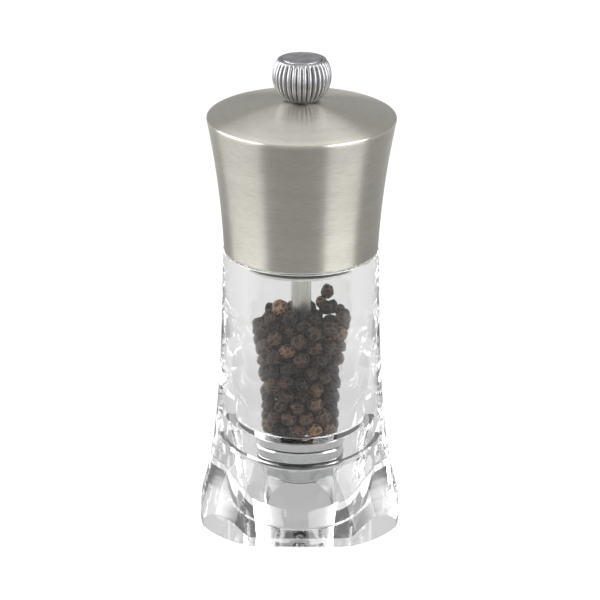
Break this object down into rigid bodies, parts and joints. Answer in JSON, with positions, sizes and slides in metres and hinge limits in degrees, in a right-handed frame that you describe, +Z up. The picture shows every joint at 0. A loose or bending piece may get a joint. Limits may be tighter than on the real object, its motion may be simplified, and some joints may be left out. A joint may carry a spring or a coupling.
{
  "type": "pepper mill",
  "caption": "Head-turn pepper mill with a clear flared body, domed brushed steel head, fluted adjusting knob, square shaft and a steel grinding mechanism under a load of peppercorns.",
  "frame": {"origin": "centre of the foot's underside, on the surface that the mill stands on", "axes": "+Z up along the shaft from the foot to the knob; +Y and +X square to the foot's flats"},
  "size_m": [0.0586, 0.0586, 0.14],
  "materials": {
    "clear_acrylic": "polished clear",
    "peppercorns": "wrinkled dry",
    "polished_steel": "polished",
    "shaft_steel": "drawn, polished",
    "hardened_steel": "satin",
    "brushed_steel": "brushed",
    "pale_nylon": "satin",
    "dark_rubber": "matt",
    "knob_aluminium": "satin cast",
    "brass_insert": "turned"
  },
  "bodies": {
    "mill_body": {"acrylic_body": "clear_acrylic", "peppercorn_fill": "peppercorns", "bearing_bridge": "polished_steel", "shaft_bush": "pale_nylon", "stator": "polished_steel", "spring": "hardened_steel", "retaining_ring": "hardened_steel", "bottom_bridge": "polished_steel", "bottom_bridge_screw_1": "hardened_steel", "bottom_bridge_screw_2": "hardened_steel"},
    "neck": {"neck_ring": "dark_rubber"},
    "head": {"head_shell": "brushed_steel", "head_core": "pale_nylon", "driver_plate": "polished_steel", "driver_plate_screw_1": "hardened_steel", "driver_plate_screw_2": "hardened_steel"},
    "knob": {"adjusting_knob": "knob_aluminium", "knob_insert": "brass_insert", "knob_cap": "knob_aluminium"},
    "seat_washer": {"spring_seat": "hardened_steel"},
    "spindle": {"drive_shaft": "shaft_steel", "rotor": "hardened_steel", "rotor_washer": "hardened_steel"}
  },
  "joints": [
    {"name": "head_lift", "type": "slide", "parent": "mill_body", "child": "neck", "axis": [0, 0, 1], "range_m": [0, 0.062]},
    {"name": "head_turn", "type": "hinge", "parent": "neck", "child": "head", "pos_m": [0, 0, 0.0827], "axis": [0, 0, 1], "continuous": true},
    {"name": "knob_turn", "type": "hinge", "parent": "head", "child": "knob", "pos_m": [0, 0, 0.128], "axis": [0, 0, 1], "range_deg": [-226, 226]},
    {"name": "grind_adjust", "type": "slide", "parent": "mill_body", "child": "seat_washer", "axis": [0, 0, 1], "range_m": [-0.0005, 0.0005], "deforming": ["spring"]},
    {"name": "spindle_turn", "type": "hinge", "parent": "seat_washer", "child": "spindle", "pos_m": [0, 0, 0.0132], "axis": [0, 0, 1], "continuous": true}
  ],
  "couplings": [
    {"joint": "knob_turn", "follows": "grind_adjust", "rad_per_m": -7854},
    {"joint": "spindle_turn", "follows": "head_turn", "ratio": 1}
  ]
}
